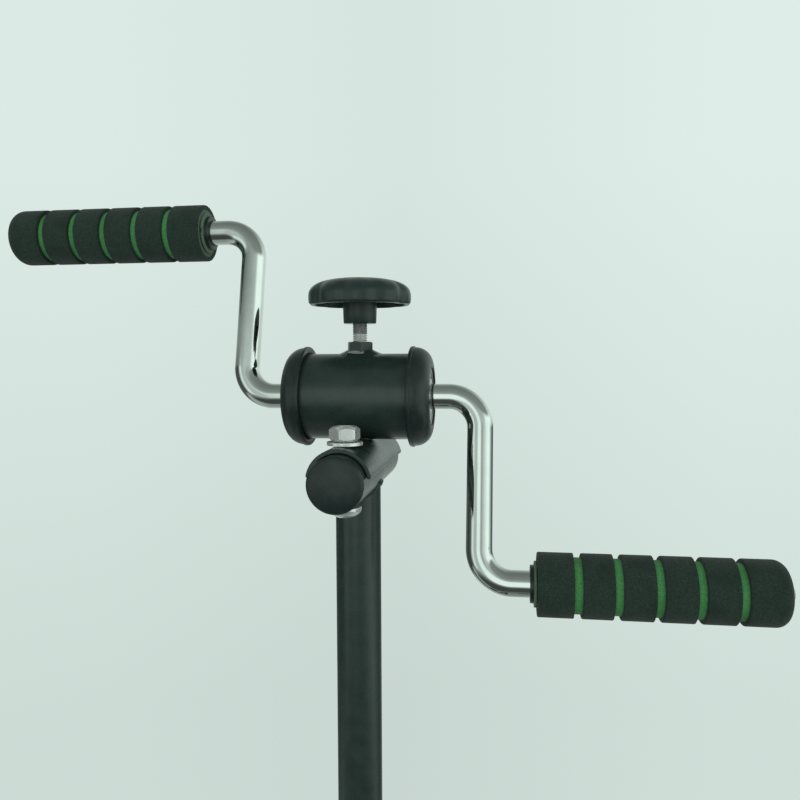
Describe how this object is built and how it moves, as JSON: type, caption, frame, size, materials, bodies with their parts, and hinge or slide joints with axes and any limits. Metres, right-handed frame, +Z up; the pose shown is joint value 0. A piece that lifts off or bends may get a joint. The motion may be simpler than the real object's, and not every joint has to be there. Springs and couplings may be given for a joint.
{
  "type": "arm and leg exerciser",
  "caption": "Free-standing exerciser with a hand crank on a telescoping post and a pedal crank below, each with a knob-set friction brake.",
  "frame": {"origin": "on the floor, under the middle of the base", "axes": "+X along the crank axles towards the right grip, +Y away from the user towards the rear foot, +Z up the post"},
  "size_m": [0.44, 0.42, 1.0115],
  "materials": {
    "satin_black_paint": "satin black powder coat on steel tube",
    "black_plastic": "fine-grained black moulded plastic",
    "glossy_plastic": "semi-gloss black moulded knob",
    "chrome_bar": "bright chrome plate",
    "zinc_plate": "bright zinc-plated fasteners",
    "bearing_steel": "ground bearing steel",
    "grip_foam": "black closed-cell foam over a green foam core that shows in the grooves",
    "rubber_cap": "matt black rubber",
    "strap_rubber": "soft black moulded strap",
    "brake_felt": "dense brown brake felt"
  },
  "bodies": {
    "frame": {"front_foot_tube": "satin_black_paint", "rear_foot_tube": "satin_black_paint", "front_left_foot_cap": "rubber_cap", "front_right_foot_cap": "rubber_cap", "rear_left_foot_cap": "rubber_cap", "rear_right_foot_cap": "rubber_cap", "base_beam": "satin_black_paint", "lower_post": "satin_black_paint", "post_bushing": "black_plastic", "clamp_weld_nut": "satin_black_paint", "leg_head_tube": "satin_black_paint", "leg_front_plug": "black_plastic", "leg_saddle": "satin_black_paint", "leg_saddle_bolt": "zinc_plate", "leg_saddle_nut": "zinc_plate", "leg_hub_tube": "satin_black_paint", "leg_weld_nut": "satin_black_paint", "leg_left_cap": "black_plastic", "leg_right_cap": "black_plastic", "leg_left_bearing": "bearing_steel", "leg_right_bearing": "bearing_steel"},
    "clamp_pad_body": {"clamp_pad": "black_plastic"},
    "clamp_screw": {"clamp_stud": "zinc_plate", "clamp_knob": "glossy_plastic"},
    "arm_head": {"upper_post": "satin_black_paint", "arm_head_tube": "satin_black_paint", "arm_front_plug": "black_plastic", "arm_rear_plug": "black_plastic", "arm_saddle": "satin_black_paint", "arm_saddle_bolt": "zinc_plate", "arm_saddle_washer": "zinc_plate", "arm_saddle_nut": "zinc_plate", "arm_hub_tube": "satin_black_paint", "arm_weld_nut": "satin_black_paint", "arm_left_cap": "black_plastic", "arm_right_cap": "black_plastic", "arm_left_bearing": "bearing_steel", "arm_right_bearing": "bearing_steel"},
    "arm_shoe": {"arm_brake_shoe": "brake_felt"},
    "arm_screw": {"arm_tension_stud": "zinc_plate", "arm_tension_knob": "glossy_plastic"},
    "arm_crank": {"arm_brake_drum": "bearing_steel", "arm_left_crank_bar": "chrome_bar", "arm_right_crank_bar": "chrome_bar", "left_grip_retainer": "zinc_plate", "right_grip_retainer": "zinc_plate"},
    "left_grip": {"left_grip_foam": "grip_foam", "left_grip_sleeve": "black_plastic"},
    "right_grip": {"right_grip_foam": "grip_foam", "right_grip_sleeve": "black_plastic"},
    "leg_shoe": {"leg_brake_shoe": "brake_felt"},
    "leg_screw": {"leg_tension_stud": "zinc_plate", "leg_tension_knob": "glossy_plastic"},
    "leg_crank": {"leg_brake_drum": "bearing_steel", "leg_left_crank_bar": "chrome_bar", "leg_right_crank_bar": "chrome_bar"},
    "left_pedal_body": {"left_pedal": "black_plastic", "left_pedal_strap": "strap_rubber"},
    "right_pedal_body": {"right_pedal": "black_plastic", "right_pedal_strap": "strap_rubber"}
  },
  "joints": [
    {"name": "post_slide", "type": "slide", "parent": "frame", "child": "arm_head", "axis": [0, 0, 1], "range_m": [-0.17, 0.06]},
    {"name": "clamp_pad_slide", "type": "slide", "parent": "frame", "child": "clamp_pad_body", "axis": [0, -1, 0], "range_m": [0, 0.00126]},
    {"name": "clamp_screw_turn", "type": "hinge", "parent": "clamp_pad_body", "child": "clamp_screw", "pos_m": [0, 0.09, 0.425], "axis": [0, -1, 0], "range_deg": [0, 360]},
    {"name": "arm_shoe_slide", "type": "slide", "parent": "arm_head", "child": "arm_shoe", "axis": [0, 0, 1], "range_m": [0, 0.00251]},
    {"name": "arm_knob_turn", "type": "hinge", "parent": "arm_shoe", "child": "arm_screw", "pos_m": [0, 0.098, 0.9], "axis": [0, 0, 1], "range_deg": [0, 720]},
    {"name": "arm_crank_turn", "type": "hinge", "parent": "arm_head", "child": "arm_crank", "pos_m": [0, 0.098, 0.9], "axis": [1, 0, 0], "continuous": true},
    {"name": "left_grip_spin", "type": "hinge", "parent": "arm_crank", "child": "left_grip", "pos_m": [-0.158, 0.1191, 0.99519], "axis": [1, 0, 0], "continuous": true},
    {"name": "right_grip_spin", "type": "hinge", "parent": "arm_crank", "child": "right_grip", "pos_m": [0.158, 0.0769, 0.80481], "axis": [1, 0, 0], "continuous": true},
    {"name": "leg_shoe_slide", "type": "slide", "parent": "frame", "child": "leg_shoe", "axis": [0, 0, 1], "range_m": [0, 0.00251]},
    {"name": "leg_knob_turn", "type": "hinge", "parent": "leg_shoe", "child": "leg_screw", "pos_m": [0, -0.01, 0.24], "axis": [0, 0, 1], "range_deg": [0, 720]},
    {"name": "leg_crank_turn", "type": "hinge", "parent": "frame", "child": "leg_crank", "pos_m": [0, -0.01, 0.24], "axis": [1, 0, 0], "continuous": true},
    {"name": "left_pedal_spin", "type": "hinge", "parent": "leg_crank", "child": "left_pedal_body", "pos_m": [-0.13, 0.04736, 0.32192], "axis": [1, 0, 0], "continuous": true},
    {"name": "right_pedal_spin", "type": "hinge", "parent": "leg_crank", "child": "right_pedal_body", "pos_m": [0.13, -0.06736, 0.15808], "axis": [1, 0, 0], "continuous": true}
  ],
  "couplings": [
    {"joint": "clamp_pad_slide", "follows": "clamp_screw_turn", "m_per_rad": 0.00019894},
    {"joint": "arm_shoe_slide", "follows": "arm_knob_turn", "m_per_rad": 0.00019894},
    {"joint": "leg_shoe_slide", "follows": "leg_knob_turn", "m_per_rad": 0.00019894}
  ]
}
